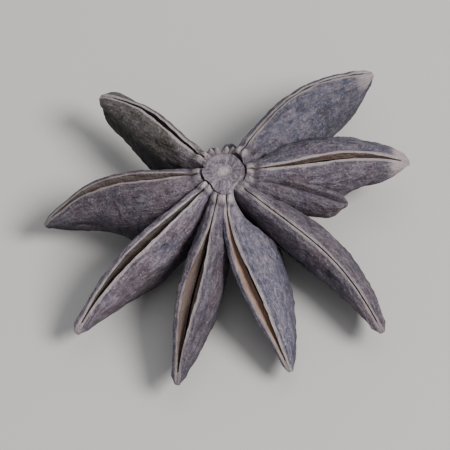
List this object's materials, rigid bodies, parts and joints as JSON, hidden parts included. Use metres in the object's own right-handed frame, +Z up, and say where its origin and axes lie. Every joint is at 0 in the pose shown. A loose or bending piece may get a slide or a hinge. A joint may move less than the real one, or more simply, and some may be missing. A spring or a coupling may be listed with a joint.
{
  "type": "star anise pod",
  "caption": "Dried star anise pod: boat-shaped carpels with seams on top stand round a short column, used whole as a spice.",
  "frame": {"origin": "the middle of the stalk scar, the flat end under the column, on the ground that the pod rests on", "axes": "+Z up, out of the hub between the seams; -Y towards the carpels with open seams; +Y towards the wide gap"},
  "size_m": [0.0313, 0.0297, 0.0081],
  "materials": {
    "husk": "dry, matt and dusty"
  },
  "bodies": {
    "root": {"pod": "husk"}
  },
  "joints": []
}
